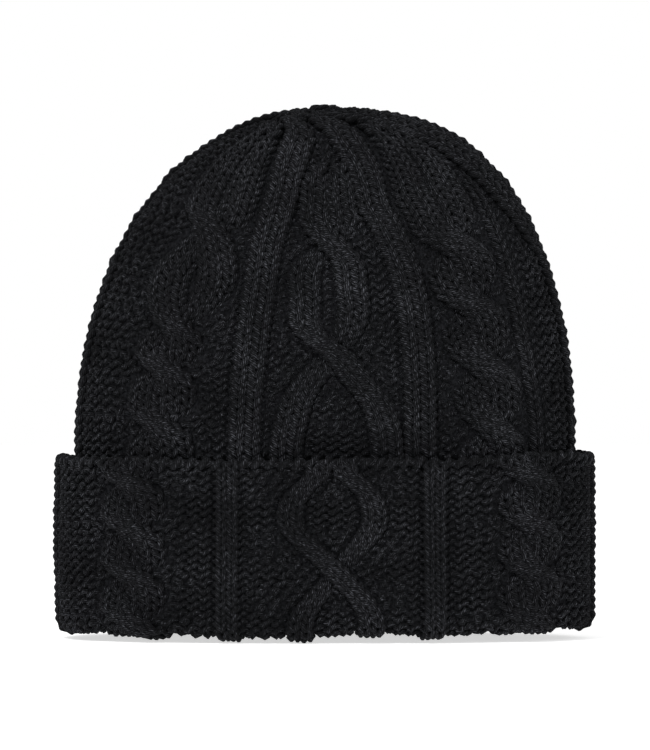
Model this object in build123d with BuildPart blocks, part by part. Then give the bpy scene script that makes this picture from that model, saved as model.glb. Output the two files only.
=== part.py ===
"""Cable-knit beanie with a turned-up cuff, softly opened and standing upright on its cuff fold.

The knitted tube is one fabric with two walls below the cuff line: the body wall inside and the
turned-up cuff outside it.  Yarn pieces close the crown, finish the cuff's edge and join the back.

Frame: origin at the centre of the head opening in the plane of the bottom fold, +Z up to the
crown, +X to the viewer's right, the front facing -Y.  All sizes are in millimetres.
"""

from build123d import *
from math import copysign, cos, pi, sin
import os

os.makedirs("parts", exist_ok=True)

# Fabric
BODY_WALL = 5.5
CUFF_WALL = 6.8
CLEARANCE = 0.7

# Body: an oval tube up to the cuff line, then a dome that leans slightly to one side
BODY_HALF_WIDTH = 106.5
BODY_HALF_DEPTH = 45.0
CUFF_LINE = 80.0
DOME_RISE = 144.0
DOME_TOP_PORTION = 0.9985
DOME_POWER = 1.8
DOME_ROUNDNESS = 2.9
CROWN_LEAN = 6.0
LEAN_POWER = 2
LEAN_RETURN_POWER = 40
OVAL_SQUARENESS = 2.5
OVAL_POINTS = 24
DOME_SECTIONS = 12

# Cuff: the same fabric turned up outside the body, with a rounded fold to stand on
CUFF_EDGE = 75.5
FOLD_FLOOR = 6.0
FOLD_RADIUS = 4.2
EDGE_ROUNDING = 1.5
EDGE_YARN_RADIUS = 2.0

# Crown gather: the last round of stitches drawn up tight on its own yarn
GATHER_RADIUS = 6.0
GATHER_THICKNESS = 6.0
GATHER_RISE = 2.4
GATHER_ROUNDING = 2.6

# Seam up the back, joining the two edges of the fabric
SEAM_HALF_WIDTH = 1.2
SEAM_CLEARANCE = 0.3

# Finishing yarn woven in on the wrong side below the gather
TAIL_RADIUS = 1.2
TAIL_OFFSET = 12.0
TAIL_TOP = 206.0
TAIL_LENGTH = 42.0

# Care label, sewn by its top edge inside the back
LABEL_WIDTH = 38.0
LABEL_HEIGHT = 30.0
LABEL_THICKNESS = 0.8
LABEL_TOP = 62.0
LABEL_GAP = 1.2
STITCH_RADIUS = 0.45
STITCH_LENGTH = 2.6
STITCH_PITCH = 4.0
STITCH_COUNT = 9
STITCH_RISE = 1.4

cuff_inner_half_width = BODY_HALF_WIDTH + CLEARANCE
cuff_inner_half_depth = BODY_HALF_DEPTH + CLEARANCE
cuff_half_width = cuff_inner_half_width + CUFF_WALL
cuff_half_depth = cuff_inner_half_depth + CUFF_WALL
opening_half_width = BODY_HALF_WIDTH - BODY_WALL
opening_half_depth = BODY_HALF_DEPTH - BODY_WALL
body_bottom = FOLD_FLOOR + CLEARANCE
crown_top = CUFF_LINE + DOME_RISE


def rise_at(height):
    """How far up the dome a height is, from 0 at the cuff line to 1 at the crown."""
    return max(0.0, (height - CUFF_LINE) / DOME_RISE)


def dome_share(portion):
    """Width of the dome as a share of its width at the cuff line."""
    return (1 - portion**DOME_POWER) ** (1 / DOME_ROUNDNESS)


def lean_at(height):
    """Sideways shift of the fabric at a height: it grows up the dome and returns at the gather."""
    rise = rise_at(height)
    return CROWN_LEAN * rise**LEAN_POWER * (1 - rise**LEAN_RETURN_POWER)


def oval_line(half_width, half_depth, centre=0.0):
    """Closed flattened oval, drawn into the line being built."""
    points = []
    for step in range(OVAL_POINTS):
        angle = 2 * pi * step / OVAL_POINTS
        along = copysign(abs(cos(angle)) ** (2 / OVAL_SQUARENESS), cos(angle))
        across = copysign(abs(sin(angle)) ** (2 / OVAL_SQUARENESS), sin(angle))
        points.append((centre + half_width * along, half_depth * across))
    Spline(*points, periodic=True)


def dome_portions():
    """Dome heights, closer together towards the crown where the outline turns fastest."""
    last = DOME_TOP_PORTION
    return [last * sin(pi / 2 * step / (DOME_SECTIONS - 1)) for step in range(DOME_SECTIONS)]


def dome_oval(portion, inset):
    """Size and place of the dome's oval, inset from the outside of the fabric."""
    height = CUFF_LINE + portion * (DOME_RISE - inset)
    share = dome_share(portion)
    half_width = (BODY_HALF_WIDTH - inset) * share
    half_depth = (BODY_HALF_DEPTH - inset) * share
    return height, half_width, half_depth


def ribbon_lines(half_width):
    """Outline of an upright ribbon up the centre of the back that follows the crown's lean."""
    heights = [CUFF_LINE + DOME_RISE * portion for portion in dome_portions()]
    left = Line((-half_width, 0), (-half_width, CUFF_LINE))
    right = Line((half_width, 0), (half_width, CUFF_LINE))
    left_lean = Spline(*[(lean_at(z) - half_width, z) for z in heights])
    right_lean = Spline(*[(lean_at(z) + half_width, z) for z in heights])
    Line(left @ 0, right @ 0)
    Line(left_lean @ 1, right_lean @ 1)


# The whole body as filled lofts: the outside of the fabric, and the hollow within it
with BuildPart() as body_outside:
    for portion in dome_portions():
        height, half_width, half_depth = dome_oval(portion, 0.0)
        with BuildSketch(Plane.XY.offset(height)):
            with BuildLine():
                oval_line(half_width, half_depth, lean_at(height))
            make_face()
    loft()
    with BuildSketch(Plane.XY.offset(body_bottom)):
        with BuildLine():
            oval_line(BODY_HALF_WIDTH, BODY_HALF_DEPTH)
        make_face()
    extrude(amount=CUFF_LINE - body_bottom)

with BuildPart() as body_hollow:
    for portion in dome_portions():
        height, half_width, half_depth = dome_oval(portion, BODY_WALL)
        with BuildSketch(Plane.XY.offset(height)):
            with BuildLine():
                oval_line(half_width, half_depth, lean_at(height))
            make_face()
    loft()
    with BuildSketch():
        with BuildLine():
            oval_line(opening_half_width, opening_half_depth)
        make_face()
    extrude(amount=CUFF_LINE)

with BuildPart() as gather_hole:
    with BuildSketch(Plane.XY.offset(crown_top - 3 * BODY_WALL)):
        Circle(GATHER_RADIUS + SEAM_CLEARANCE)
    extrude(amount=4 * BODY_WALL)

with BuildPart() as seam_slot:
    with BuildSketch(Plane.XZ):
        with BuildLine():
            ribbon_lines(SEAM_HALF_WIDTH + SEAM_CLEARANCE)
        make_face()
    extrude(amount=-2 * cuff_half_depth)

with BuildPart() as seam_ribbon:
    with BuildSketch(Plane.XZ):
        with BuildLine():
            ribbon_lines(SEAM_HALF_WIDTH)
        make_face()
    extrude(amount=-2 * cuff_half_depth)

# Knitted body, from the fold up to the gathered crown, open along the back seam
with BuildPart() as crown_body:
    add(body_outside.part)
    add(body_hollow.part, mode=Mode.SUBTRACT)
    add(gather_hole.part, mode=Mode.SUBTRACT)
    add(seam_slot.part, mode=Mode.SUBTRACT)

# Yarn column that joins the body's two edges up the back
with BuildPart() as body_seam:
    add(seam_ribbon.part)
    add(body_outside.part, mode=Mode.INTERSECT)
    add(body_hollow.part, mode=Mode.SUBTRACT)
    add(gather_hole.part, mode=Mode.SUBTRACT)

# Drawn-up yarn that closes the crown
with BuildPart() as crown_gather:
    with BuildSketch(Plane.XY.offset(crown_top + GATHER_RISE - GATHER_THICKNESS)):
        Circle(GATHER_RADIUS)
    extrude(amount=GATHER_THICKNESS)
    fillet(crown_gather.edges().group_by(Axis.Z)[-1], GATHER_ROUNDING)

# Turned-up cuff with its rounded fold, filled in and still without its back seam
with BuildPart() as cuff_ring:
    with BuildSketch():
        with BuildLine():
            oval_line(cuff_half_width, cuff_half_depth)
        make_face()
        with BuildLine():
            oval_line(opening_half_width, opening_half_depth)
        make_face(mode=Mode.SUBTRACT)
    extrude(amount=CUFF_EDGE)
    fillet(cuff_ring.edges().group_by(Axis.Z)[0], FOLD_RADIUS)
    with BuildSketch(Plane.XY.offset(FOLD_FLOOR)):
        with BuildLine():
            oval_line(cuff_inner_half_width, cuff_inner_half_depth)
        make_face()
    extrude(amount=CUFF_EDGE, mode=Mode.SUBTRACT)
    fillet(cuff_ring.edges().group_by(Axis.Z)[-1], EDGE_ROUNDING)

with BuildPart() as cuff:
    add(cuff_ring.part)
    add(seam_slot.part, mode=Mode.SUBTRACT)

# Yarn column that joins the cuff's two edges up the back and round the fold
with BuildPart() as cuff_seam:
    add(seam_ribbon.part)
    add(cuff_ring.part, mode=Mode.INTERSECT)

# Chain of cast-on loops along the cuff's upper edge
edge_height = CUFF_EDGE + SEAM_CLEARANCE + EDGE_YARN_RADIUS
edge_half_width = cuff_inner_half_width + CUFF_WALL / 2
edge_half_depth = cuff_inner_half_depth + CUFF_WALL / 2

with BuildPart() as cast_on_edge:
    with BuildLine(Plane.XY.offset(edge_height)) as edge_path:
        oval_line(edge_half_width, edge_half_depth)
    with BuildSketch(edge_path.line ^ 0):
        Circle(EDGE_YARN_RADIUS)
    sweep(path=edge_path.line)


def hollow_depth(height, sideways):
    """Distance back from the centre plane to the fabric's inside face, at a point of the dome."""
    share = dome_share((height - CUFF_LINE) / (DOME_RISE - BODY_WALL))
    reach = abs(sideways) / (opening_half_width * share)
    return opening_half_depth * share * (1 - reach**OVAL_SQUARENESS) ** (1 / OVAL_SQUARENESS)


# End of the gathering yarn, woven down the inside of the crown
tail_heights = [TAIL_TOP - TAIL_LENGTH * step / 4 for step in range(5)]

with BuildPart() as crown_tail:
    with BuildLine() as tail_path:
        Spline(*[
            (
                lean_at(height) + TAIL_OFFSET,
                hollow_depth(height, TAIL_OFFSET) - TAIL_RADIUS - CLEARANCE,
                height,
            )
            for height in tail_heights
        ])
    with BuildSketch(tail_path.line ^ 0):
        Circle(TAIL_RADIUS)
    sweep(path=tail_path.line)

# Care label hanging flat against the inside of the back
label_back = opening_half_depth - LABEL_GAP
label_middle = label_back - LABEL_THICKNESS / 2

with BuildPart() as care_label:
    with BuildSketch(Plane.XZ.offset(-label_back)):
        with Locations((0, LABEL_TOP - LABEL_HEIGHT / 2)):
            RectangleRounded(LABEL_WIDTH, LABEL_HEIGHT, 1.5)
    extrude(amount=LABEL_THICKNESS)

# Row of short stitches over the label's top edge
with BuildPart() as label_stitches:
    stitch_plane = Plane(
        origin=(0, label_middle, LABEL_TOP + STITCH_RISE), x_dir=(0, 1, 0), z_dir=(1, 0, 0)
    )
    for place in range(STITCH_COUNT):
        start = (place - (STITCH_COUNT - 1) / 2) * STITCH_PITCH - STITCH_LENGTH / 2
        with BuildSketch(stitch_plane.offset(start)):
            Circle(STITCH_RADIUS)
        extrude(amount=STITCH_LENGTH)

pieces = {
    "crown_body": crown_body,
    "body_seam": body_seam,
    "crown_gather": crown_gather,
    "crown_tail": crown_tail,
    "cuff": cuff,
    "cuff_seam": cuff_seam,
    "cast_on_edge": cast_on_edge,
    "care_label": care_label,
    "label_stitches": label_stitches,
}

for name, piece in pieces.items():
    piece.part.label = name
    export_step(piece.part, f"parts/{name}.step")
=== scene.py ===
"""Looks of the cable-knit beanie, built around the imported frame.

The fabric is made the way a knitting machine makes it: every row is one length of yarn, led
through its loops and swept as a tube.  A loop shows its two legs where the stitch is knit and its
arcs where it is purl.  Ribs and cables are strands of knit loops that follow their own paths over
the purl ground, and two strands that swap places pass one in front of the other.

Lateral places are in quarter turns round the hat: 0 is the centre of the front, 1 the fold on the
viewer's right, 2 the centre of the back and 3 the fold on the left.  Heights are in rows.
"""

import bpy
import numpy as np
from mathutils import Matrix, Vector


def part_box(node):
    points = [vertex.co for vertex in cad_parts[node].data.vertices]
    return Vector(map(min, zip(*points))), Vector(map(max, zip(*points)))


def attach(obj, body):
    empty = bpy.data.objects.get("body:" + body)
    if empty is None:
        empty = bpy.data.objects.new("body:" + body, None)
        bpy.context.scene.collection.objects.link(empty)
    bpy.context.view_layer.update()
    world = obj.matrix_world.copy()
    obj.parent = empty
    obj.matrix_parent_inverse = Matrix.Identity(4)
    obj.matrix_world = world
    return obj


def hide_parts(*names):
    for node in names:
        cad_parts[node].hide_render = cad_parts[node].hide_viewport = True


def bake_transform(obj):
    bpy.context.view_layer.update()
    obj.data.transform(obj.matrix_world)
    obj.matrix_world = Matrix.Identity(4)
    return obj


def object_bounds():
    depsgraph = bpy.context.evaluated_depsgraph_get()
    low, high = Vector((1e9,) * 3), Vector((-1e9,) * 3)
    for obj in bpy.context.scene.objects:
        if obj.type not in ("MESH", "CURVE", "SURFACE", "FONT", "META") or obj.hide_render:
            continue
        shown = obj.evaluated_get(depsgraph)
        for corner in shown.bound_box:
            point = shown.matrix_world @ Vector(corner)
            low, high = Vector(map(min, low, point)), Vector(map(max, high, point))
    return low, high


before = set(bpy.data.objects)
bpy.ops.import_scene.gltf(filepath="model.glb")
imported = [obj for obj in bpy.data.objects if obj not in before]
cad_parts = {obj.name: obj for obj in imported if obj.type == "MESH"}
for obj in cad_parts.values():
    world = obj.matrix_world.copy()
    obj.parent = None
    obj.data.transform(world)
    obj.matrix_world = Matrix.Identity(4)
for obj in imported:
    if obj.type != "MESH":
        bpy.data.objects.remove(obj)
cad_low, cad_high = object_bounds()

MM = 0.001
TURN = 2 * np.pi
QUARTERS = 4.0
BACK = 2.0

# ---- sizes read from the frame

body_low, body_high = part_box("crown_body")
edge_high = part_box("cast_on_edge")[1]
gather_low, gather_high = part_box("crown_gather")
tail_low, tail_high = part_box("crown_tail")
label_low, label_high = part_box("care_label")

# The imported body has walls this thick, and its dome begins at the cuff line
BODY_WALL = 5.5 * MM
CUFF_LINE = 80.0 * MM
FABRIC_HALF = BODY_WALL / 2
OVAL_POWER = 2.5

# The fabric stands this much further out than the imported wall
PLUMP = 0.2 * MM
CROWN_PLUMP = 1.5 * MM
body_half_width = -body_low.x - FABRIC_HALF + PLUMP
body_half_depth = body_high.y - FABRIC_HALF
dome_rise = body_high.z - CUFF_LINE - FABRIC_HALF + CROWN_PLUMP

# Dome: its width follows a power curve, and it leans a little to one side below the gather
DOME_POWER = 2.15
DOME_ROUNDNESS = 2.45
DOME_TOP = 0.99999
CROWN_LEAN = 6.0 * MM
LEAN_POWER = 2
LEAN_RETURN_POWER = 40

# Cuff: a fold of this radius joins the wall behind it to the wall in front
FOLD_RADIUS = 4.2 * MM
FOLD_CENTRE = 7.5 * MM

# ---- yarn and stitches

# Rows of the wall behind the cuff, of the body above it, and of the cuff with its fold
HIDDEN_ROWS = 19
DOME_ROWS = 48
CUFF_ROWS = 24

# Yarn: its radius, how thick it looks in each kind of loop, and its swell along the loop
YARN_RADIUS = 1.65 * MM
KNIT_YARN = 0.93
PURL_YARN = 0.74
KNIT_SWELL = -0.06
PURL_SWELL = 0.12

# Widths of the wales
KNIT_WALE = 6.5 * MM
ROPE_WALE = 5.7 * MM
PURL_WALE = 6.0 * MM

# Shape of a loop: half its height in rows, its sideways swing in wales, and its depth
KNIT_HEIGHT = 0.78
KNIT_SWING = 0.28
KNIT_DEPTH = 1.2 * MM
PURL_HEIGHT = 0.81
PURL_SWING = 0.055
PURL_DEPTH = 1.15 * MM
PURL_LEAN = 0.10

# The purl ground lies back from the strands, and further back right beside one
GROUND_SINK = -0.7 * MM
GUTTER_SINK = -0.7 * MM
GUTTER_REACH = 0.7

# How far a strand's sides fall away from its middle
RIB_PUFF = 0.9 * MM
ROPE_PUFF = 3.6 * MM
PUFF_POWER = 3

# Share of a strand's slant that its rows follow
COURSE_TILT = 0.32
STEEPEST_SLANT = 1.3

# A strand shows from this share of a wale upwards, and drops a wale when all would be narrower
NARROWEST_STRAND = 0.6
NARROWEST_WALE = 0.72

# Yarn looks thinner in a cramped wale, and a gap takes one more wale a little early
CRAMPED_POWER = 0.7
EARLY_WALE = 0.15

# How much the loops of a row differ in place, depth, height and thickness
UNEVEN_ROW = 0.04
UNEVEN_DEPTH = 0.08
UNEVEN_HEIGHT = 0.12 * MM
UNEVEN_YARN = 0.03

# Share of the step between neighbouring loops that the one in front closes
FRONT_SHARE = 0.15
SAME_HEIGHT = 1e-6

# Points along a loop and round the yarn, fewer where the cuff covers them
SAMPLES = 12
SIDES = 7
COVERED_SAMPLES = 10
COVERED_SIDES = 6

rng = np.random.default_rng(7)


def smooth_step(value):
    """0 below 0, 1 above 1, and an even S between."""
    value = np.clip(value, 0.0, 1.0)
    return value * value * (3 - 2 * value)


def unit(vectors):
    """The vectors at length one."""
    return vectors / np.maximum(np.linalg.norm(vectors, axis=-1, keepdims=True), 1e-12)


def curve_through(points):
    """Smooth curve through a few (row, value) points, level beyond its ends."""
    rows, values = (np.array(column, float) for column in zip(*points))
    slopes = np.gradient(values, rows)
    slopes[0] = slopes[-1] = 0.0

    def curve(row):
        row = np.clip(row, rows[0], rows[-1])
        at = np.clip(np.searchsorted(rows, row) - 1, 0, len(rows) - 2)
        span = rows[at + 1] - rows[at]
        t = (row - rows[at]) / span
        rest = 1 - t
        return (
            values[at] * rest * rest * (1 + 2 * t)
            + values[at + 1] * t * t * (3 - 2 * t)
            + span * t * rest * (slopes[at] * rest - slopes[at + 1] * t)
        )

    return curve


# ---- the two walls as surfaces


def power(value):
    """Signed power that squares off the oval."""
    return np.sign(value) * np.abs(value) ** (2 / OVAL_POWER)


class Oval:
    """Flattened oval, measured along its edge in quarter turns from the centre of the front."""

    STEPS = 8192

    def __init__(self, half_width, half_depth):
        angles = np.linspace(0, TURN, self.STEPS + 1)
        self.x = power(np.sin(angles))
        self.y = -power(np.cos(angles))
        steps = np.hypot(np.diff(self.x * half_width), np.diff(self.y * half_depth))
        self.quarters = np.concatenate([[0], np.cumsum(steps)]) / steps.sum() * QUARTERS
        first_quarter = slice(0, self.STEPS // 4 + 1)
        self.front_x = self.x[first_quarter]
        self.front_quarters = self.quarters[first_quarter]

    def point(self, around):
        """Unit x and y at a place round the oval."""
        around = np.mod(around, QUARTERS)
        return np.interp(around, self.quarters, self.x), np.interp(around, self.quarters, self.y)

    def place(self, share):
        """Place round the front where x is this share of the half width."""
        return np.sign(share) * np.interp(np.abs(share), self.front_x, self.front_quarters)


body_oval = Oval(body_half_width, body_half_depth)


def dome_share(rise):
    """Width of the dome, as a share of its width at the cuff line."""
    return (1 - np.clip(rise, 0, 1) ** DOME_POWER) ** (1 / DOME_ROUNDNESS)


def dome_lean(rise):
    """Sideways shift of the dome, back to nothing at the gather."""
    return CROWN_LEAN * rise**LEAN_POWER * (1 - rise**LEAN_RETURN_POWER)


def dome_point(around, rise):
    """Middle of the fabric on the dome."""
    x, y = body_oval.point(around)
    share = dome_share(rise)
    x = body_half_width * share * x + dome_lean(rise)
    y = body_half_depth * share * y
    return np.stack([x, y, CUFF_LINE + dome_rise * rise + 0 * x], -1)


TABLE_PLACES = 97
TABLE_RISES = 500
TABLE_SHARES = 201


def even_rows():
    """Rise at every place and share of the rows: each wale has its rows evenly along its length."""
    places = np.linspace(0, QUARTERS, TABLE_PLACES)
    rises = DOME_TOP * np.sin(np.linspace(0, np.pi / 2, TABLE_RISES))
    shares = np.linspace(0, 1, TABLE_SHARES)
    grid = dome_point(places[:, None] + 0 * rises, rises[None, :] + 0 * places[:, None])
    steps = np.linalg.norm(np.diff(grid, axis=1), axis=2)
    lengths = np.concatenate([np.zeros((len(places), 1)), np.cumsum(steps, 1)], 1)
    lengths /= lengths[:, -1:]
    return np.array([np.interp(shares, line, rises) for line in lengths])


rise_table = even_rows()


def rise_at(around, share):
    """Rise of a row, looked up between the table's places and shares."""
    across = np.mod(around, QUARTERS) / QUARTERS * (TABLE_PLACES - 1)
    up = np.clip(share, 0, 1) * (TABLE_SHARES - 1)
    i = np.clip(across.astype(int), 0, TABLE_PLACES - 2)
    j = np.clip(up.astype(int), 0, TABLE_SHARES - 2)
    a, b = across - i, up - j
    low = rise_table[i, j] * (1 - a) + rise_table[i + 1, j] * a
    high = rise_table[i, j + 1] * (1 - a) + rise_table[i + 1, j + 1] * a
    return low * (1 - b) + high * b


MOST_RIPPLES = 8
SLOWEST_RIPPLE = 20
FASTEST_RIPPLE = 70


def ripple(around, height, seed, waves, amount):
    """Gentle unevenness that joins up round the hat."""
    source = np.random.default_rng(seed)
    total = 0.0
    for _ in range(waves):
        turns = source.integers(1, MOST_RIPPLES + 1)
        rate = source.uniform(SLOWEST_RIPPLE, FASTEST_RIPPLE)
        phase = source.uniform(0, TURN)
        total = total + np.sin(TURN * turns * around / QUARTERS + rate * height + phase)
    return amount * total / np.sqrt(waves)


# Height of the fold above its lowest place, in millimetres, against the share of the half width
HANG_POINTS = (
    (-1, 0.8), (-0.75, 1.4), (-0.45, 0.4), (0, 0.0), (0.15, 1.3), (0.45, 0.8), (0.62, 2.0),
    (0.8, 3.2), (1, 2.6),
)
hang_across = curve_through([(share, height * MM) for share, height in HANG_POINTS])


def hang(around):
    """How far the cuff's fold hangs above its lowest place."""
    return hang_across(body_oval.point(around)[0])


def body_surface(around, row):
    """Middle of the body's fabric: upright behind the cuff, then up the dome."""
    hidden = np.clip(1 - row / HIDDEN_ROWS, 0, None)
    rise = rise_at(around, (row - HIDDEN_ROWS) / DOME_ROWS)
    point = dome_point(around, rise)
    point[..., 2] -= hidden * (CUFF_LINE - FOLD_CENTRE - hang(around))
    point[..., 2] += ripple(around, rise, seed=3, waves=5, amount=0.35 * MM)
    return point


EDGE_HEIGHT = 6.9 * MM
cuff_oval = Oval(body_half_width + 2 * FOLD_RADIUS, body_half_depth + 2 * FOLD_RADIUS)
cuff_top = edge_high.z - EDGE_HEIGHT
fold_length = np.pi * FOLD_RADIUS
cuff_pitch = (fold_length + cuff_top - FOLD_CENTRE) / CUFF_ROWS


def cuff_surface(around, row):
    """Middle of the cuff's fabric: round the fold from the inside, then up the outside."""
    along = row * cuff_pitch
    angle = np.clip(along / FOLD_RADIUS, 0, np.pi)
    out = FOLD_RADIUS * (1 - np.cos(angle))
    height = FOLD_CENTRE - FOLD_RADIUS * np.sin(angle) + np.clip(along - fold_length, 0, None)
    x, y = cuff_oval.point(around)
    outside = smooth_step(angle / np.pi)
    sway = outside * ripple(around, height, seed=11, waves=5, amount=0.55 * MM)
    wave = outside * ripple(around, 0.3 * height, seed=12, waves=6, amount=0.5 * MM)
    lift = hang(around) + wave
    x = (body_half_width + out + sway) * x
    y = (body_half_depth + out + sway) * y
    return np.stack([x, y, height + lift], -1)


class Wall:
    """One wall of fabric: its surface, its rows and the strands that cross them."""

    ASIDE = 0.004
    UP = 0.1
    PLACES = 161

    def __init__(self, surface, oval, rows, relief):
        self.surface = surface
        self.oval = oval
        self.rows = rows
        self.relief = relief
        self.grid = np.linspace(-2, rows + 2, 4 * (rows + 4) + 1)
        self.strands = []

    def along(self, around, row):
        return self.surface(around + self.ASIDE, row) - self.surface(around - self.ASIDE, row)

    def upward(self, around, row, step):
        return self.surface(around, row + step) - self.surface(around, row - step)

    def stretch(self, around, row):
        """Metres per quarter turn, along the row."""
        return np.linalg.norm(self.along(around, row), axis=-1) / (2 * self.ASIDE)

    def pitch(self, around, row):
        """Metres per row, along the wale."""
        return np.linalg.norm(self.upward(around, row, 2 * self.UP), axis=-1) / (4 * self.UP)

    def normal(self, around, row):
        """Unit vector out of the fabric's right side."""
        return unit(np.cross(self.along(around, row), self.upward(around, row, self.UP)))

    def length(self, row):
        """Length of a row all the way round."""
        places = np.linspace(0, QUARTERS, self.PLACES)
        points = self.surface(places, np.full(self.PLACES, float(row)))
        return np.linalg.norm(np.diff(points, axis=0), axis=1).sum()


# ---- the pattern

# Rows of a fade far above the hat
NO_FADE = (900, 999)


class Group:
    """Ribs or cables that keep together: a centre path as a share of the half width, and strands.

    Each strand is (wales, offset from the centre, lift off the ground), the last two in metres at
    each row.  The group narrows to nothing between the two rows of its fade.
    """

    def __init__(self, centre, strands, wale, puff=RIB_PUFF, fade=NO_FADE, front_only=False):
        self.centre = centre
        self.strands = strands
        self.wale = wale
        self.puff = puff
        self.fade = fade
        self.front_only = front_only

    def shrink(self, rows):
        """Share of the group's width that is left at these rows."""
        first, last = self.fade
        return 1 - smooth_step((rows - first) / (last - first))

    def width(self, rows):
        return sum(strand[0] for strand in self.strands) * self.wale * self.shrink(rows)


def flat(value):
    """The same value at every row."""
    return lambda row: value + 0 * np.asarray(row, float)


# Lift off the ground of a rib and of a crossing strand, and what a crossing adds or takes away
RIB_LIFT = 1.0 * MM
ROPE_LIFT = 1.2 * MM
CROSS_LIFT = 2.7 * MM
CROSS_REACH = 2.2

# Strands: their wales, their distance from a rope's middle, and how sharply they change sides
ROPE_WALES = 3
SWAP_WALES = 2
ROPE_SPREAD = 6.4 * MM
SWAP_SHARPNESS = 0.4

# Puff of a swapping strand, and of a rib whose sides stand higher than its middle
SWAP_PUFF = 1.8 * MM
PINCHED = -0.9 * MM


def rib(centre, wales=2, lift=flat(RIB_LIFT), wale=KNIT_WALE, **options):
    return Group(centre, [(wales, flat(0.0), lift)], wale, **options)


def rope(centre, turns, spread=flat(ROPE_SPREAD), **options):
    """Two strands that swap places, always the same way round: once for each of its turns."""

    def across(row):
        swing = np.cos(np.pi * turns(row))
        return spread(row) * swing * (1 + SWAP_SHARPNESS * (1 - swing**2))

    def strand(side):
        return (
            ROPE_WALES,
            lambda row: side * across(row),
            lambda row: ROPE_LIFT + side * CROSS_LIFT * np.sin(np.pi * turns(row)),
        )

    return Group(centre, [strand(1), strand(-1)], ROPE_WALE, puff=ROPE_PUFF, **options)


def swap(leader, other, crossings, wale=KNIT_WALE, **options):
    """Two strands on their own paths.

    Each crossing is (row, sense): the leader passes in front where the sense is 1 and behind
    where it is -1.
    """

    def lift(side):
        def height(row):
            total = ROPE_LIFT + 0 * np.asarray(row, float)
            for where, sense in crossings:
                nearness = np.exp(-(((row - where) / CROSS_REACH) ** 2))
                total = total + side * sense * CROSS_LIFT * nearness
            return total

        return height

    return [
        Group(leader, [(SWAP_WALES, flat(0.0), lift(1))], wale, SWAP_PUFF, **options),
        Group(other, [(SWAP_WALES, flat(0.0), lift(-1))], wale, SWAP_PUFF, **options),
    ]


def above_cuff(*points):
    """Curve whose points count their rows from the cuff line."""
    return curve_through([(row + HIDDEN_ROWS, value) for row, value in points])


def crown(first, last):
    """Rows of a fade, counted from the cuff line."""
    return first + HIDDEN_ROWS, last + HIDDEN_ROWS


# Across the front: rope, rib, centre cable, rib, rope, sunk wale, and the band on the side fold
body_groups = [
    rope(
        above_cuff((0, -0.67), (13, -0.65), (20, -0.61), (33, -0.59), (40, -0.60), (48, -0.6)),
        above_cuff((-17.5, -3), (-9.5, -1.5), (-3, -0.5), (3, 0.5), (9.5, 1.5), (14.5, 2.5),
                   (20.5, 3.0), (26, 3.5), (30, 4.0)),
        above_cuff((14, ROPE_SPREAD), (20, 10.0 * MM), (24.5, ROPE_SPREAD)),
        fade=crown(29.5, 47),
    ),
    rib(above_cuff((0, -0.325), (35, -0.325), (42, -0.36), (48, -0.36)), fade=crown(43.5, 48)),
    *swap(
        above_cuff((-10.5, -0.14), (3.5, -0.14), (8, -0.09), (12.5, 0.03), (16.5, 0.107), (21, 0.10),
                   (24, 0.08), (26.5, 0.0), (29, -0.082), (31.5, -0.092), (35, -0.105)),
        above_cuff((-10.5, 0.22), (3.5, 0.235), (6, 0.205), (9, 0.126), (12.5, 0.03), (15, -0.072),
                   (19.5, -0.10), (23.5, -0.10), (26.5, 0.0), (29, 0.06), (31.5, 0.045), (35, 0.03)),
        [(26.5 + HIDDEN_ROWS, 1), (12.5 + HIDDEN_ROWS, -1)],
        fade=crown(33.5, 38.5),
        front_only=True,
    ),
    rib(
        above_cuff((-22, 0.40), (0, 0.383), (13, 0.378), (20, 0.355), (26, 0.305), (33, 0.234),
                   (38.5, 0.12), (42, 0.03), (48, 0.0)),
        fade=crown(43.5, 48),
    ),
    rope(
        above_cuff((0, 0.70), (13, 0.654), (26, 0.615), (33, 0.56), (40, 0.47), (48, 0.4)),
        above_cuff((-17.5, -3), (-10.5, -1.5), (-4, -0.5), (2.5, 0.5), (9.5, 1.5), (16.5, 2.5),
                   (23.5, 3.5), (27.5, 4.0)),
        fade=crown(29.5, 47),
    ),
    rib(
        above_cuff((0, 0.845), (13, 0.805), (26, 0.775), (33, 0.74), (40, 0.68), (48, 0.6)),
        wales=1,
        lift=flat(-1.5 * MM),
        fade=crown(28, 35),
    ),
    rib(
        above_cuff((0, 1.0), (20, 1.0), (25, 0.985), (30, 0.95), (36, 0.90), (42, 0.80), (48, 0.6)),
        wales=3,
        lift=curve_through([(HIDDEN_ROWS + 18, 0.4 * MM), (HIDDEN_ROWS + 32, 1.8 * MM)]),
    ),
]

CUFF_RIB_WALE = 4.4 * MM
CUFF_SWAP_WALE = 5.2 * MM
cuff_turns = curve_through([(-2, -0.5), (4, 0.5), (10, 1.5), (16, 2.5), (22, 3.5), (26, 4.2)])
cuff_groups = [
    rope(flat(-0.72), cuff_turns),
    rib(flat(-0.363), wale=CUFF_RIB_WALE, puff=PINCHED),
    *swap(
        curve_through([(0, 0.17), (5, 0.165), (10.5, 0.045), (17.5, -0.13), (20, -0.115), (24, -0.02)]),
        curve_through([(0, -0.09), (5, -0.085), (10.5, 0.045), (17.5, 0.185), (20, 0.165), (24, 0.07)]),
        [(10.5, 1)],
        wale=CUFF_SWAP_WALE,
        front_only=True,
    ),
    rib(flat(0.407), wale=CUFF_RIB_WALE, puff=PINCHED),
    rope(flat(0.767), cuff_turns),
    rib(flat(1.0), lift=flat(0.4 * MM)),
]


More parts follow.
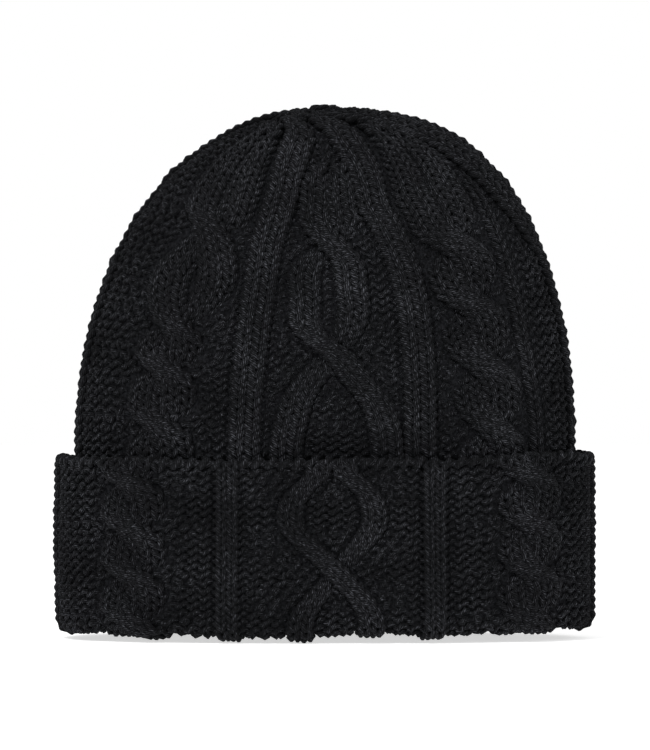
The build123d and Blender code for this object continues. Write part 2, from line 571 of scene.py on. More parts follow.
class Strand:
    """A strand of a wall, tabulated against the wall's rows."""

    def __init__(self, wall, place, width, wales, lift, puff):
        self.rows = wall.grid
        self.place = place
        self.width = width
        self.wales = wales
        self.lift = lift
        self.puff = puff
        self.full_wale = width.max() / wales
        self.stretch = wall.stretch(place, wall.grid)
        pitch = np.maximum(wall.pitch(place, wall.grid), 0.1 * MM)
        slope = np.gradient(place, wall.grid) * self.stretch / pitch
        tilt = np.arctan(np.clip(slope, -STEEPEST_SLANT, STEEPEST_SLANT))
        self.climb = COURSE_TILT * np.sin(tilt) / pitch
        self.reach = 1 - COURSE_TILT + COURSE_TILT * np.cos(tilt)

    def at(self, name, row):
        return np.interp(row, self.rows, getattr(self, name))

    def side(self, row, metres):
        """Place of a point this far to the side of the strand's middle."""
        return self.at("place", row) + metres * self.at("reach", row) / self.at("stretch", row)


SPARE_EDGE = 0.02
FULLEST = 0.98
BLUR_STEPS = 11


def spread_apart(centres, widths, quarter):
    """Moves neighbours as little as possible so that none overlap between the two side folds.

    The last group is the side fold's own; the others lie between its two halves, in order.
    """
    first = centres[-1] - BACK * quarter + widths[-1] / 2
    inner = widths[:-1]
    packed = first + np.cumsum(inner, 0) - inner / 2
    wanted = centres[:-1] - packed
    count = len(wanted)
    placed = []
    for index in range(count):
        tails = [
            np.min([wanted[start : stop + 1].mean(0) for stop in range(index, count)], 0)
            for start in range(index + 1)
        ]
        placed.append(np.max(tails, 0))
    spare = BACK * quarter - widths.sum(0)
    placed = np.clip(placed, SPARE_EDGE * spare, (1 - SPARE_EDGE) * spare) + packed
    return np.concatenate([placed, centres[-1:]])


def lay_out(wall, groups):
    """Gives the wall its strands, front and back, drawn together where the dome narrows."""
    rows = wall.grid
    quarter = np.array([wall.length(row) for row in rows]) / QUARTERS
    lasting = [group for group in groups if not group.front_only]
    widths = np.array([group.width(rows) for group in lasting])
    room = FULLEST * BACK * quarter
    squeeze = np.minimum(1, room / np.maximum(widths.sum(0), 1e-6))
    centres = {group: wall.oval.place(np.clip(group.centre(rows), -1, 1)) for group in groups}
    wanted = np.array([centres[group] * quarter for group in lasting])
    spread = spread_apart(wanted, widths * squeeze, quarter)
    blur = np.hanning(BLUR_STEPS) / np.hanning(BLUR_STEPS).sum()
    for group, metres in zip(lasting, spread):
        padded = np.pad(metres / quarter, BLUR_STEPS // 2, mode="edge")
        centres[group] = np.convolve(padded, blur, mode="valid")
    for group in groups:
        stretch = wall.stretch(centres[group], rows)
        for wales, offset, lift in group.strands:
            width = wales * group.wale * squeeze * group.shrink(rows)
            place = centres[group] + offset(rows) * squeeze * group.shrink(rows) / stretch
            height = lift(rows) * squeeze * wall.relief(rows)
            for turn in (0.0,) if group.front_only else (0.0, BACK):
                wall.strands.append(Strand(wall, place + turn, width, wales, height, group.puff))


BEHIND_ALL = -1.0


def loop_path(t, swing, height):
    """The path of the yarn through a loop: across, in wales, and up, in rows."""
    return t / TURN - 0.5 + swing * np.sin(2 * t), -height * np.cos(t)


class Course:
    """One row all the way round: the knit loops of each strand, and purl loops between strands."""

    def __init__(self, wall, row, samples):
        self.wall = wall
        self.row = row
        self.relief = float(wall.relief(row))
        self.t = np.linspace(0, TURN, samples + 1)
        self.cells = {"place": [], "row": [], "height": [], "front": [], "size": []}
        here = [s for s in wall.strands if s.at("width", row) > NARROWEST_STRAND * s.full_wale]
        here.sort(key=lambda strand: float(strand.at("place", row)))
        for strand, after in zip(here, here[1:] + here[:1]):
            self.lay_strand(strand)
            self.lay_ground(strand, after, QUARTERS if after is here[0] else 0.0)
        self.cells = {name: np.concatenate(parts) for name, parts in self.cells.items()}

    def lay(self, place, at_row, height, face, size, swell, front):
        """Adds loops, each a little uneven.  Its arcs stand highest where the face is below 0."""
        uneven = rng.normal(0, 1, (4, len(place), 1))
        depth = face * -np.cos(2 * self.t) * (1 + UNEVEN_DEPTH * uneven[1])
        yarn = size * (1 + UNEVEN_YARN * uneven[3]) * (1 + swell * np.cos(2 * self.t[:-1]))
        self.cells["place"].append(place)
        self.cells["row"].append(at_row + UNEVEN_ROW * uneven[0] * np.sin(self.t / 2) ** 2)
        self.cells["height"].append(height + depth + UNEVEN_HEIGHT * uneven[2])
        self.cells["front"].append(np.full(len(place), front))
        self.cells["size"].append(yarn)

    def lay_strand(self, strand):
        """Knit loops of a strand's wales, which fall away towards its sides."""
        width = float(strand.at("width", self.row))
        lift = float(strand.at("lift", self.row))
        wales = max(1, min(strand.wales, round(width / (NARROWEST_WALE * strand.full_wale))))
        across, upward = loop_path(self.t, KNIT_SWING, KNIT_HEIGHT)
        share = (np.arange(wales)[:, None] + 0.5 + across) / wales - 0.5
        at_row = self.row + upward - share * width * float(strand.at("climb", self.row))
        puff = self.relief * strand.puff * (wales > 1) * np.abs(2 * share) ** PUFF_POWER
        height = strand.at("lift", at_row) - puff
        size = KNIT_YARN * min(1.0, (width / wales / KNIT_WALE) ** CRAMPED_POWER)
        place = strand.side(at_row, share * width)
        self.lay(place, at_row, height, KNIT_DEPTH, size, KNIT_SWELL, lift)

    def lay_ground(self, strand, after, around):
        """Purl loops that fill the gap between two strands and follow the slant of each."""
        half, after_half = (float(s.at("width", self.row)) / 2 for s in (strand, after))
        climb, after_climb = (float(s.at("climb", self.row)) for s in (strand, after))
        start = float(strand.side(self.row, half))
        stop = float(after.side(self.row, -after_half)) + around
        middle = np.array([(start + stop) / 2])
        gap = (stop - start) * float(self.wall.stretch(middle, np.array([self.row]))[0])
        count = int(round(gap / PURL_WALE + EARLY_WALE))
        if count < 1:
            return
        across, upward = loop_path(self.t, PURL_SWING, PURL_HEIGHT)
        upward = upward + PURL_LEAN * np.sin(2 * self.t)
        share = (np.arange(count)[:, None] + 0.5 + across) / count
        near = share * count
        far = (1 - share) * count
        at_row = self.row + upward - half * climb * np.exp(-(near**2))
        at_row = at_row + after_half * after_climb * np.exp(-(far**2))
        left = strand.side(at_row, half)
        right = after.side(at_row, -after_half) + around
        beside = np.exp(-((near / GUTTER_REACH) ** 2)) + np.exp(-((far / GUTTER_REACH) ** 2))
        height = GROUND_SINK + GUTTER_SINK * beside
        size = PURL_YARN * min(1.0, (gap / count / PURL_WALE) ** CRAMPED_POWER)
        place = left * (1 - share) + right * share
        self.lay(place, at_row, height, -PURL_DEPTH, size, PURL_SWELL, BEHIND_ALL)

    def joined(self, name, share, around=0.0):
        """One of the cells' values along the row, with the steps between loops closed smoothly."""
        last_part = smooth_step((self.t[:-1] - 0.75 * TURN) / (0.25 * TURN))
        first_part = 1 - smooth_step(self.t[:-1] / (0.25 * TURN))
        value = self.cells[name]
        after = np.roll(value[:, 0], -1)
        after[-1] += around
        step = after - value[:, -1]
        before = np.roll(step * (1 - share), 1)
        value = value[:, :-1] + (step * share)[:, None] * last_part - before[:, None] * first_part
        return value.ravel()

    def path(self):
        """Points, normals and yarn radii along the row."""
        front = self.cells["front"]
        ahead = np.roll(front, -1)
        share = np.full(len(front), 0.5)
        share[front > ahead + SAME_HEIGHT] = FRONT_SHARE
        share[ahead > front + SAME_HEIGHT] = 1 - FRONT_SHARE
        place = self.joined("place", share, QUARTERS)
        at_row = self.joined("row", 0.5)
        height = self.joined("height", share)
        normal = self.wall.normal(place, at_row)
        radius = self.cells["size"].ravel()
        radius = (radius + np.roll(radius, 1) + np.roll(radius, -1)) / 3 * YARN_RADIUS
        return self.wall.surface(place, at_row) + normal * height[:, None], normal, radius


# ---- tubes

# Colour map: points of yarn in a cell, the cell's margin, and lines of cells per column
BAKE_RUN = 24
MAP_MARGIN = 0.06
LINES_PER_COLUMN = 2


class Tube:
    """A tube of yarn swept along a path, closed into a ring or capped at both ends."""

    def __init__(self, points, normals, radius, closed=True, sides=SIDES):
        count = len(points)
        radius = np.broadcast_to(radius, (count,))
        if closed:
            tangent = unit(np.roll(points, -1, 0) - np.roll(points, 1, 0))
        else:
            tangent = unit(np.gradient(points, axis=0))
        across = unit(np.cross(tangent, normals))
        out = np.cross(across, tangent)
        angle = (np.arange(sides) / sides + 0.5) * TURN
        ring = out[:, None] * np.cos(angle)[:, None] + across[:, None] * np.sin(angle)[:, None]
        self.vertices = (points[:, None] + ring * radius[:, None, None]).reshape(-1, 3)
        self.spans = count if closed else count - 1
        i, j = np.arange(self.spans)[:, None], np.arange(sides)[None, :]
        ahead, turn = (i + 1) % count, (j + 1) % sides
        corners = [i * sides + j, i * sides + turn, ahead * sides + turn, ahead * sides + j]
        self.faces = np.stack(corners, -1).reshape(-1, 4)
        steps = np.linalg.norm(np.roll(points, -1, 0) - points, axis=1)
        along = np.concatenate([[0], np.cumsum(steps)])
        self.yarn_uv = self.corner_pairs(along[i], along[i + 1], j / sides, (j + 1) / sides)
        step = i % BAKE_RUN / BAKE_RUN
        self.runs = (i // BAKE_RUN + 0 * j).ravel()
        self.bake_uv = self.corner_pairs(step, step + 1 / BAKE_RUN, j / sides, (j + 1) / sides)
        last = count * sides
        self.caps = [] if closed else [np.arange(sides)[::-1], np.arange(last - sides, last)]

    @staticmethod
    def corner_pairs(low, high, near, far):
        """Flat coordinates of every face's corners, from its two ends and its two sides."""
        corners = ((low, near), (low, far), (high, far), (high, near))
        corners = [np.stack(np.broadcast_arrays(*corner), -1) for corner in corners]
        return np.stack(corners, 2).reshape(-1, 4, 2)


def colour_map_places(tubes):
    """Places on a colour map: one cell for each run of yarn, in a grid, with a margin between."""
    runs = []
    first = 0
    for tube in tubes:
        runs.append(tube.runs + first)
        first += tube.runs.max() + 1
    runs = np.concatenate(runs)
    columns = int(np.ceil(np.sqrt(first / LINES_PER_COLUMN)))
    lines = int(np.ceil(first / columns))
    inside = np.concatenate([tube.bake_uv for tube in tubes])
    inside = inside * (1 - 2 * MAP_MARGIN) + MAP_MARGIN
    corner = np.stack([runs % columns, runs // columns], -1)[:, None, :]
    return (corner + inside) / (columns, lines)


def shown(name, mesh, material):
    """Puts a mesh in the scene with its material and slot."""
    mesh.materials.append(material)
    piece = bpy.data.objects.new(name, mesh)
    bpy.context.scene.collection.objects.link(piece)
    return piece


def mesh_piece(name, vertices, faces, material, smooth=True):
    """An object from vertices and faces."""
    mesh = bpy.data.meshes.new(name)
    mesh.from_pydata(np.asarray(vertices).tolist(), [], [list(map(int, face)) for face in faces])
    mesh.polygons.foreach_set("use_smooth", np.full(len(mesh.polygons), smooth))
    return shown(name, mesh, material)


def yarn_piece(name, tubes, material):
    """One object from several tubes, with yarn coordinates for its material."""
    base = np.cumsum([0] + [len(tube.vertices) for tube in tubes])
    vertices = np.concatenate([tube.vertices for tube in tubes])
    faces = np.concatenate([tube.faces + low for tube, low in zip(tubes, base)])
    caps = [cap + low for tube, low in zip(tubes, base) for cap in tube.caps]
    totals = np.array([4] * len(faces) + [len(cap) for cap in caps], np.int32)
    corners = np.concatenate([faces.ravel()] + caps).astype(np.int32)
    mesh = bpy.data.meshes.new(name)
    mesh.vertices.add(len(vertices))
    mesh.vertices.foreach_set("co", vertices.astype(np.float32).ravel())
    mesh.loops.add(len(corners))
    mesh.loops.foreach_set("vertex_index", corners)
    mesh.polygons.add(len(totals))
    mesh.polygons.foreach_set("loop_start", np.cumsum(totals, dtype=np.int32) - totals)
    mesh.polygons.foreach_set("loop_total", totals)
    mesh.polygons.foreach_set("use_smooth", np.ones(len(totals), bool))
    capped = np.zeros((len(corners) - 4 * len(faces), 2))
    yarn_places = np.concatenate([tube.yarn_uv for tube in tubes]).reshape(-1, 2)
    for layer, places in (("OFBake", colour_map_places(tubes)), ("Yarn", yarn_places)):
        places = np.concatenate([places.reshape(-1, 2), capped]).astype(np.float32)
        mesh.uv_layers.new(name=layer).data.foreach_set("uv", places.ravel())
    mesh.update(calc_edges=True)
    mesh.validate()
    return shown(name, mesh, material)


# ---- materials


class Shader:
    """A new material with short names for its node wiring."""

    def __init__(self, name):
        self.material = bpy.data.materials.new(name)
        self.material.use_nodes = True
        self.nodes = self.material.node_tree.nodes
        self.links = self.material.node_tree.links
        self.surface = self.nodes["Principled BSDF"]

    def feed(self, socket, value):
        if isinstance(value, bpy.types.NodeSocket):
            self.links.new(value, socket)
        else:
            socket.default_value = value

    def node(self, kind, *values):
        """A new node with these values in its first inputs."""
        node = self.nodes.new("ShaderNode" + kind)
        for socket, value in zip(node.inputs, values):
            self.feed(socket, value)
        return node

    def math(self, operation, *values):
        node = self.node("Math", *values)
        node.operation = operation
        return node.outputs[0]

    def object_place(self):
        """Place on the object, in metres."""
        return self.node("TexCoord").outputs["Object"]

    def yarn_place(self):
        """Place on the yarn: metres along it, and the share of a turn round it."""
        yarn = self.node("UVMap")
        yarn.uv_map = "Yarn"
        return self.node("SeparateXYZ", yarn.outputs["UV"]).outputs[:2]

    def noise(self, vector, scale, detail):
        node = self.node("TexNoise", vector)
        node.inputs["Scale"].default_value = scale
        node.inputs["Detail"].default_value = detail
        return node.outputs[0]

    def ramp(self, value, stops):
        node = self.node("ValToRGB", value)
        elements = node.color_ramp.elements
        while len(elements) < len(stops):
            elements.new(0.5)
        for element, (position, colour) in zip(elements, stops):
            element.position = position
            element.color = (*colour, 1)
        return node.outputs[0]

    def bump(self, height, strength, distance):
        node = self.node("Bump", strength, distance)
        self.feed(node.inputs["Height"], height)
        self.links.new(node.outputs[0], self.surface.inputs["Normal"])

    def set(self, **values):
        """Feeds inputs of the surface, named with _ for a space."""
        for name, value in values.items():
            self.feed(self.surface.inputs[name.replace("_", " ")], value)


PLIES = 8
PLY_SPACING = 1.25 * MM
FIBRES_PER_METRE = 650.0
FIBRES_PER_PLY = 2.2
WOOL_TINT = np.array([0.95, 0.985, 1.12])

# Parts of the mix that sets the wool's colour, and the shades that the mix runs through. Fibre flecks
# and specks are partly random tone and partly painted glints, plies add painted light on their crests
# and painted shade between them, patches are random tone, and the yarn's outer side gets painted light
# and its inner side painted shade
FIBRE_TONE_AND_GLINT_PART = 0.55
PLY_LIGHT_AND_SHADE_PART = 0.10
PATCH_PART = 0.16
SPECK_TONE_AND_GLINT_PART = 0.25
PAINTED_CREST_HIGHLIGHT = 0.34
PAINTED_SHADE_LEVEL = 0.298
WOOL_SHADES = ((0.42, 0.0012), (0.52, 0.0040), (0.61, 0.0115), (0.73, 0.088))
# Tones of the dark layer in the gaps between loops: partly matted fibres, partly painted shade
FELT_AND_GAP_SHADE_TONES = ((0.4, 0.004), (0.7, 0.013))


def tinted(shades, tint):
    """Stops of a colour ramp from (position, brightness) pairs."""
    return [(position, tuple(tint * shade)) for position, shade in shades]


def wool(name, brightness, sheen):
    """Near-black dyed wool: twisted plies with painted light and shade along them, fibre flecks that
    are partly random tone and partly painted glints, and painted light on the yarn's outer side with
    painted shade on its inner side.
    """
    shader = Shader(name)
    along, round_yarn = shader.yarn_place()
    twist = shader.math("MULTIPLY_ADD", round_yarn, float(PLIES),
                        shader.math("MULTIPLY", along, 1 / PLY_SPACING))
    wave = shader.math("SINE", shader.math("MULTIPLY", twist, TURN))
    ply = shader.math("MULTIPLY_ADD", wave, 0.5, 0.5)
    lengthwise = shader.math("MULTIPLY", along, FIBRES_PER_METRE)
    crosswise = shader.math("MULTIPLY", twist, FIBRES_PER_PLY)
    fibre_place = shader.node("CombineXYZ", lengthwise, crosswise).outputs[0]
    # Fibre noise: in the colour, pale flecks that are partly random fibre tone and partly painted
    # glints; it also sets roughness and bump
    fibres = shader.noise(fibre_place, 1.5, 4.0)
    position = shader.object_place()
    patches = shader.noise(position, 45.0, 3.0)
    # Fine specks in the colour: partly random tone, partly painted glints
    speck_tone_and_glints = shader.noise(position, 900.0, 2.0)
    # Ply stripes in the colour: painted light on the ply crests, painted shade in the grooves between
    # the plies
    mix = shader.math("MULTIPLY_ADD", fibres, FIBRE_TONE_AND_GLINT_PART, shader.math("MULTIPLY", ply, PLY_LIGHT_AND_SHADE_PART))
    mix = shader.math("MULTIPLY_ADD", patches, PATCH_PART, mix)
    mix = shader.math("MULTIPLY_ADD", speck_tone_and_glints, SPECK_TONE_AND_GLINT_PART, mix)
    # Painted light on the yarn's outer side and painted shade on its inner side, where it turns into
    # the fabric
    turned = shader.math("ADD", round_yarn, 0.5)
    painted_crest_light = shader.math("SUBTRACT", 1.0, shader.math("PINGPONG", turned, 0.5))
    mix = shader.math("MULTIPLY_ADD", painted_crest_light, PAINTED_CREST_HIGHLIGHT, shader.math("SUBTRACT", mix, PAINTED_SHADE_LEVEL))
    colour = shader.ramp(mix, tinted(WOOL_SHADES, WOOL_TINT * brightness))
    shader.set(
        Base_Color=colour,
        Roughness=shader.math("MULTIPLY_ADD", fibres, 0.2, 0.78),
        Specular_IOR_Level=0.06,
        Sheen_Weight=sheen,
        Sheen_Roughness=0.5,
        Sheen_Tint=(0.86, 0.9, 1.0, 1),
    )
    shader.bump(shader.math("MULTIPLY_ADD", fibres, 1.1, ply), 1.0, 0.30 * MM)
    return shader.material


def felt_and_gap_shade():
    """Dark layer between the loops: partly matted fibres and the black wool behind the gaps, partly
    painted shade in them.
    """
    shader = Shader("felt_and_painted_gap_shade")
    fibres = shader.noise(shader.object_place(), 900.0, 4.0)
    shader.set(
        Base_Color=shader.ramp(fibres, tinted(FELT_AND_GAP_SHADE_TONES, WOOL_TINT)),
        Roughness=0.95,
        Specular_IOR_Level=0.03,
    )
    shader.bump(fibres, 1.0, 0.4 * MM)
    return shader.material


TAPE_RIB = 0.45 * MM
TAPE_THREAD = 0.30 * MM
THREAD_TWIST = 0.5 * MM


def woven_tape():
    """Pale satin-woven tape of the label: fine ribs across, with slightly uneven threads."""
    shader = Shader("label_tape")
    position = shader.object_place()
    x, _, z = shader.node("SeparateXYZ", position).outputs
    ribs = shader.math("SINE", shader.math("MULTIPLY", z, TURN / TAPE_RIB))
    threads = shader.math("SINE", shader.math("MULTIPLY", x, TURN / TAPE_THREAD))
    weave = shader.math("MULTIPLY_ADD", ribs, 0.5, shader.math("MULTIPLY", threads, 0.35))
    cloudy = shader.noise(position, 160.0, 3.0)
    shader.set(
        Base_Color=shader.ramp(cloudy, [(0.3, (0.46, 0.45, 0.43)), (0.7, (0.60, 0.59, 0.57))]),
        Roughness=0.62,
        Sheen_Weight=0.15,
    )
    shader.bump(weave, 0.5, 0.12 * MM)
    return shader.material


def sewing_thread():
    """Pale twisted thread of the label's stitches."""
    shader = Shader("label_thread")
    along, round_yarn = shader.yarn_place()
    twist = shader.math("ADD", shader.math("MULTIPLY", along, 1 / THREAD_TWIST), round_yarn)
    ply = shader.math("SINE", shader.math("MULTIPLY", twist, TURN))
    shader.set(Base_Color=(0.42, 0.41, 0.39, 1), Roughness=0.55, Sheen_Weight=0.1)
    shader.bump(ply, 0.5, 0.06 * MM)
    return shader.material


black_wool = wool("black_wool", brightness=1.0, sheen=0.012)
seam_wool = wool("seam_wool", brightness=0.9, sheen=0.010)
felt_and_shade = felt_and_gap_shade()
tape = woven_tape()
thread = sewing_thread()

# ---- fabric


def relief_of_body(rows):
    """Relief of the body: pressed flat behind the cuff, full above it."""
    return 0.2 + 0.8 * smooth_step((rows - HIDDEN_ROWS + 1.5) / 2.0)


def relief_of_cuff(rows):
    """Relief of the cuff: softer where it goes round the fold."""
    return 0.4 + 0.55 * smooth_step((rows - 2.5) / 4.0)


def rows_of(wall, first, last, samples=SAMPLES, sides=SIDES):
    """A tube of yarn for each row."""
    rows = (Course(wall, float(row), samples) for row in range(first, last))
    return [Tube(*row.path(), sides=sides) for row in rows]


CORE_COLUMNS = 256
CORE_LINES_PER_ROW = 1.5
CORE_HEIGHT = -0.8 * MM
CORE_HALF = 0.25 * MM


def core_piece(name, wall, first, last, material):
    """Thin dark layer that fills the gaps between a wall's loops: partly felted fibres, partly painted
    shade.
    """
    around = np.linspace(0, QUARTERS, CORE_COLUMNS, endpoint=False)
    lines = int((last - first) * CORE_LINES_PER_ROW) + 1
    place, row = np.meshgrid(around, np.linspace(first, last, lines))
    middle, normal = wall.surface(place, row), wall.normal(place, row)
    outer = middle + normal * (CORE_HEIGHT + CORE_HALF)
    inner = middle + normal * (CORE_HEIGHT - CORE_HALF)
    vertices = np.concatenate([outer.reshape(-1, 3), inner.reshape(-1, 3)])
    half = lines * CORE_COLUMNS
    here = np.arange(half).reshape(lines, CORE_COLUMNS)
    onward = np.roll(here, -1, axis=1)
    front = np.stack([here[:-1], onward[:-1], onward[1:], here[1:]], -1).reshape(-1, 4)
    back = front[:, ::-1] + half
    bottom = np.stack([here[0], here[0] + half, onward[0] + half, onward[0]], -1)
    top = np.stack([onward[-1], onward[-1] + half, here[-1] + half, here[-1]], -1)
    return mesh_piece(name, vertices, np.concatenate([front, back, bottom, top]), material)


body = Wall(body_surface, body_oval, HIDDEN_ROWS + DOME_ROWS, relief_of_body)
lay_out(body, body_groups)
cuff = Wall(cuff_surface, cuff_oval, CUFF_ROWS, relief_of_cuff)
lay_out(cuff, cuff_groups)

FOOT = 0.5
FIRST_SHOWN = HIDDEN_ROWS - 1
BODY_LOWER_END = HIDDEN_ROWS + 10
BODY_MIDDLE_END = HIDDEN_ROWS + 22
CUFF_FOLD_END = 8
CUFF_MIDDLE_END = 16


def behind_cuff(piece, node):
    """Stands for a node behind the cuff: the node is hidden, and the piece keeps its built place with
    its transform applied.
    """
    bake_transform(piece)
    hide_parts(node)


def riding(piece, body_name, node):
    """Stands for a node and rides on its body."""
    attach(piece, body_name)
    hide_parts(node)


covered_rows = rows_of(body, 0, FIRST_SHOWN, COVERED_SAMPLES, COVERED_SIDES)
behind_cuff(yarn_piece("body_rows_behind_cuff", covered_rows, black_wool), "crown_body")
for name, first, last in (
    ("body_rows_lower", FIRST_SHOWN, BODY_LOWER_END),
    ("body_rows_middle", BODY_LOWER_END, BODY_MIDDLE_END),
    ("body_rows_upper", BODY_MIDDLE_END, HIDDEN_ROWS + DOME_ROWS),
):
    riding(yarn_piece(name, rows_of(body, first, last), black_wool), "crown", "crown_body")
for name, first, last in (
    ("cuff_rows_fold", 0, CUFF_FOLD_END),
    ("cuff_rows_middle", CUFF_FOLD_END, CUFF_MIDDLE_END),
    ("cuff_rows_upper", CUFF_MIDDLE_END, CUFF_ROWS + 1),
):
    riding(yarn_piece(name, rows_of(cuff, first, last), black_wool), "turned_cuff", "cuff")

# Dark layers in the gaps between loops: partly felted fibres, partly painted shade
behind_cuff(core_piece("core_behind_cuff", body, FOOT, FIRST_SHOWN, felt_and_shade), "crown_body")
riding(core_piece("core_of_crown", body, FIRST_SHOWN, body.rows - 1, felt_and_shade), "crown", "crown_body")
riding(core_piece("core_of_cuff", cuff, FOOT, CUFF_ROWS, felt_and_shade), "turned_cuff", "cuff")

# ---- cast-on edge

COIL_RADIUS = 1.25 * MM
COIL_PITCH = 5.6 * MM
COIL_SAMPLES = 10
COIL_ROW = 0.5
COIL_UNEVENNESS = 0.25
WRAPPED_YARN = 0.85
STRAIGHT_YARN = 0.8


def coiled_edge():
    """Yarn wrapped round a straight yarn along the cuff's upper edge."""
    turns = int(cuff.length(CUFF_ROWS) / COIL_PITCH)
    around = np.linspace(0, QUARTERS, turns * COIL_SAMPLES, endpoint=False)
    row = np.full(around.shape, CUFF_ROWS + COIL_ROW)
    angle = TURN * turns * around / QUARTERS
    normal = cuff.normal(around, row)
    out = normal * np.cos(angle)[:, None] + np.array([0, 0, 1]) * np.sin(angle)[:, None]
    middle = cuff.surface(around, row)
    middle[:, 2] += ripple(around * 3, 0 * around, seed=22, waves=6, amount=0.6 * MM)
    wobble = 1 + COIL_UNEVENNESS * ripple(around * 9, 0 * around, seed=21, waves=7, amount=1.0)
    coil = middle + out * (COIL_RADIUS * wobble)[:, None]
    every_fourth = slice(None, None, 4)
    straight = Tube(middle[every_fourth], normal[every_fourth], STRAIGHT_YARN * YARN_RADIUS)
    return [Tube(coil, out, WRAPPED_YARN * YARN_RADIUS), straight]


riding(yarn_piece("cuff_cast_on_edge", coiled_edge(), black_wool), "turned_cuff", "cast_on_edge")

# ---- back seams

SEAM_SAMPLES = 8
SEAM_SWING = 1.7 * MM
SEAM_LIFT = 1.0 * MM
SEAM_DEPTH = 0.5 * MM
FINE_YARN = 0.7


def seam_piece(name, wall, first, last):
    """Seam up the centre of the back: yarn that steps from edge to edge once a row."""
    count = int((last - first) * SEAM_SAMPLES)
    row = np.linspace(first, last, count)
    swing = SEAM_SWING * np.sin(TURN * row)
    stretch = wall.stretch(np.full(count, BACK), row)
    place = BACK + swing / np.maximum(stretch, 1 * MM)
    normal = wall.normal(place, row)
    height = SEAM_LIFT + SEAM_DEPTH * np.cos(2 * TURN * row)
    points = wall.surface(place, row) + normal * height[:, None]
    return yarn_piece(name, [Tube(points, normal, FINE_YARN * YARN_RADIUS, False)], seam_wool)


behind_cuff(seam_piece("body_seam_lower", body, FOOT, FIRST_SHOWN), "body_seam")
riding(seam_piece("body_seam_upper", body, FIRST_SHOWN, body.rows - 2), "crown", "body_seam")
riding(seam_piece("cuff_seam_yarn", cuff, FOOT, CUFF_ROWS), "turned_cuff", "cuff_seam")

# ---- gather and tail

KNOT_POINTS = 160
KNOT_ROUNDS = 3
KNOT_LOBES = 5
KNOT_MIDDLE = 0.62
KNOT_LIFT = 1.2 * MM
KNOT_WAVE = 1.4 * MM
KNOT_YARN = 0.9


def knot():
    """Closing yarn at the top of the crown, wound through the last loops and pulled tight."""
    t = np.linspace(0, TURN, KNOT_POINTS, endpoint=False)
    radius = (gather_high.x - gather_low.x) / 2
    swing = radius * (KNOT_MIDDLE + (1 - KNOT_MIDDLE) * np.cos(KNOT_LOBES * t))
    middle = (gather_low + gather_high) / 2
    x = middle.x + swing * np.cos(KNOT_ROUNDS * t)
    y = middle.y + swing * np.sin(KNOT_ROUNDS * t)
    z = middle.z + KNOT_WAVE * np.sin(KNOT_LOBES * t) + KNOT_LIFT
    points = np.stack([x, y, z], -1)
    upward = np.broadcast_to([0.0, 0.0, 1.0], points.shape)
    return Tube(points, upward, KNOT_YARN * YARN_RADIUS)


TAIL_POINTS = 60
TAIL_STITCHES = 6
TAIL_SWING = 0.5 * MM


def woven_tail():
    """End of the closing yarn, woven down the wrong side."""
    height = np.linspace(tail_high.z, tail_low.z, TAIL_POINTS)
    share = (tail_high.z - height) / (tail_high.z - tail_low.z)
    x = tail_low.x * (1 - share) + tail_high.x * share
    y = tail_low.y * (1 - share) + tail_high.y * share
    y = y + TAIL_SWING * np.sin(TURN * TAIL_STITCHES * share)
    points = np.stack([x, y, height], -1)
    across = np.broadcast_to([0.0, -1.0, 0.3], points.shape)
    return Tube(points, across, FINE_YARN * YARN_RADIUS, False)


riding(yarn_piece("crown_gather_knot", [knot()], black_wool), "crown", "crown_gather")
riding(yarn_piece("crown_tail_yarn", [woven_tail()], seam_wool), "crown", "crown_tail")

# ---- care label

LABEL_COLUMNS = 28
LABEL_LINES = 20
TAPE_HALF = 0.3 * MM
TAPE_CURL = -0.7 * MM
TAPE_WAVE = 0.25 * MM
HEM_TOP = 0.86
HEM_EDGE = 0.03
HEM_THICKENING = 0.5


def label_piece():
    """Blank woven label: a soft tape with a slight curl, thicker where its foot is hemmed."""
    across = np.linspace(-1, 1, LABEL_COLUMNS)
    down = np.linspace(0, 1, LABEL_LINES)
    across, down = np.meshgrid(across, down)
    middle = (label_low + label_high) / 2
    half = (label_high - label_low) / 2
    curl = TAPE_CURL * down**2 * (0.4 + across**2)
    curl = curl + TAPE_WAVE * np.sin(5 * across + 3 * down) * down
    hem = 1 + HEM_THICKENING * smooth_step((down - HEM_TOP) / HEM_EDGE)
    x = middle.x + half.x * across
    z = label_high.z - 2 * half.z * down
    sheets = []
    for side in (-1, 1):
        y = middle.y + curl + side * TAPE_HALF * hem
        sheets.append(np.stack([x, y, z], -1).reshape(-1, 3))
    other_sheet = LABEL_COLUMNS * LABEL_LINES
    here = np.arange(other_sheet).reshape(LABEL_LINES, LABEL_COLUMNS)
    squares = np.stack([here[:-1, :-1], here[1:, :-1], here[1:, 1:], here[:-1, 1:]], -1).reshape(-1, 4)
    squares = np.stack([squares, squares[:, ::-1] + other_sheet], 1).reshape(-1, 4)
    rim = np.concatenate([here[0], here[1:, -1], here[-1, -2::-1], here[-2:0:-1, 0]])
    ahead = np.roll(rim, -1)
    edges = np.stack([rim, ahead, ahead + other_sheet, rim + other_sheet], -1)
    return mesh_piece("care_label_tape", np.concatenate(sheets), np.concatenate([squares, edges]), tape)


riding(label_piece(), "label", "care_label")

STITCH_COUNT = 9
STITCH_POINTS = 9
STITCH_SPAN = 0.36
STITCH_BULGE = 0.5 * MM
STITCH_FOOT = 0.95 * MM
STITCH_SLANT = 0.8 * MM
THREAD_RADIUS = 0.35 * MM


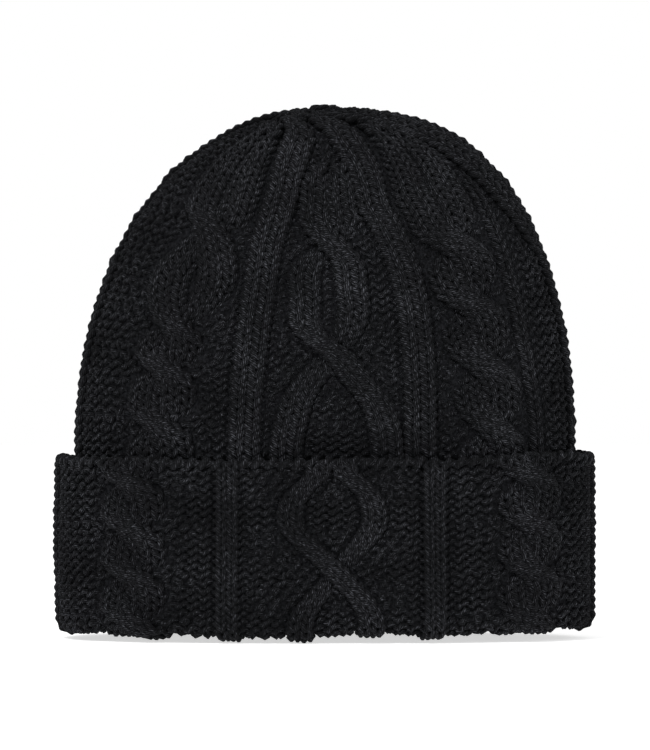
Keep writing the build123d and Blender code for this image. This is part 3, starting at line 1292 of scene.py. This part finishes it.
def label_stitches():
    """Short slanting thread stitches just above the label's top edge, clear of its flap."""
    low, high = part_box("label_stitches")
    pitch = (high.x - low.x) / STITCH_COUNT
    share = np.linspace(-1, 1, STITCH_POINTS)
    y = (low.y + high.y) / 2 - STITCH_BULGE * (1 - share**4)
    z = label_high.z + STITCH_FOOT + STITCH_SLANT * (1 - share)
    tubes = []
    for index in range(STITCH_COUNT):
        x = low.x + pitch * (index + 0.5) + share * STITCH_SPAN * pitch
        points = np.stack([x, y, z], -1)
        inward = np.broadcast_to([0.0, -1.0, 0.0], points.shape)
        tubes.append(Tube(points, inward, THREAD_RADIUS, False))
    return tubes


riding(yarn_piece("label_thread_stitches", label_stitches(), thread), "crown", "label_stitches")

# ---- stage, light and camera

scene = bpy.context.scene
scene.view_settings.view_transform = "Standard"


def white_surroundings(strength):
    """White world: bright where the camera sees it, softer where it lights the hat."""
    world = bpy.data.worlds.new("studio")
    scene.world = world
    world.use_nodes = True
    nodes, links = world.node_tree.nodes, world.node_tree.links
    rays = nodes.new("ShaderNodeLightPath")
    brightness = nodes.new("ShaderNodeMapRange")
    brightness.inputs["To Min"].default_value = strength
    brightness.inputs["To Max"].default_value = 1.0
    links.new(rays.outputs["Is Camera Ray"], brightness.inputs["Value"])
    links.new(brightness.outputs[0], nodes["Background"].inputs["Strength"])
    nodes["Background"].inputs["Color"].default_value = (1, 1, 1, 1)


def pale_floor():
    """Floor under the fold of the cuff, which the hat stands on at every pose."""
    shader = Shader("pale_floor")
    shader.set(
        Base_Color=(0.85, 0.85, 0.85, 1),
        Roughness=0.9,
        Specular_IOR_Level=0.1,
        Emission_Color=(1, 1, 1, 1),
        Emission_Strength=0.62,
    )
    half = 6.0
    corners = [(-half, -half, 0), (half, -half, 0), (half, half, 0), (-half, half, 0)]
    floor = mesh_piece("floor", corners, [(0, 1, 2, 3)], shader.material, smooth=False)
    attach(floor, "turned_cuff")


def area_light(name, place, target, size, watts):
    data = bpy.data.lights.new(name, "AREA")
    data.shape = "RECTANGLE"
    data.size, data.size_y = size
    data.energy = watts
    light = bpy.data.objects.new(name, data)
    light.location = place
    light.rotation_euler = (Vector(target) - Vector(place)).to_track_quat("-Z", "Y").to_euler()
    scene.collection.objects.link(light)


LENS = 250
SENSOR = 36
VISIBLE_HEIGHT = 0.3198
EYE_HEIGHT = 0.1121
FARTHEST = 50


def level_camera():
    """Level camera straight in front, far enough back to see the visible height."""
    data = bpy.data.cameras.new("camera")
    data.lens = LENS
    data.sensor_width = SENSOR
    data.clip_end = FARTHEST
    camera = bpy.data.objects.new("camera", data)
    camera.location = (0, -VISIBLE_HEIGHT * LENS / SENSOR, EYE_HEIGHT)
    camera.rotation_euler = (np.pi / 2, 0, 0)
    scene.collection.objects.link(camera)
    scene.camera = camera


white_surroundings(strength=0.55)
pale_floor()
middle = (cad_low + cad_high) / 2
area_light("key", (-0.7, -1.2, 1.3), middle, size=(0.7, 0.7), watts=19.5)
area_light("fill", (1.2, -1.4, 0.5), middle, size=(1.2, 1.2), watts=10)
level_camera()
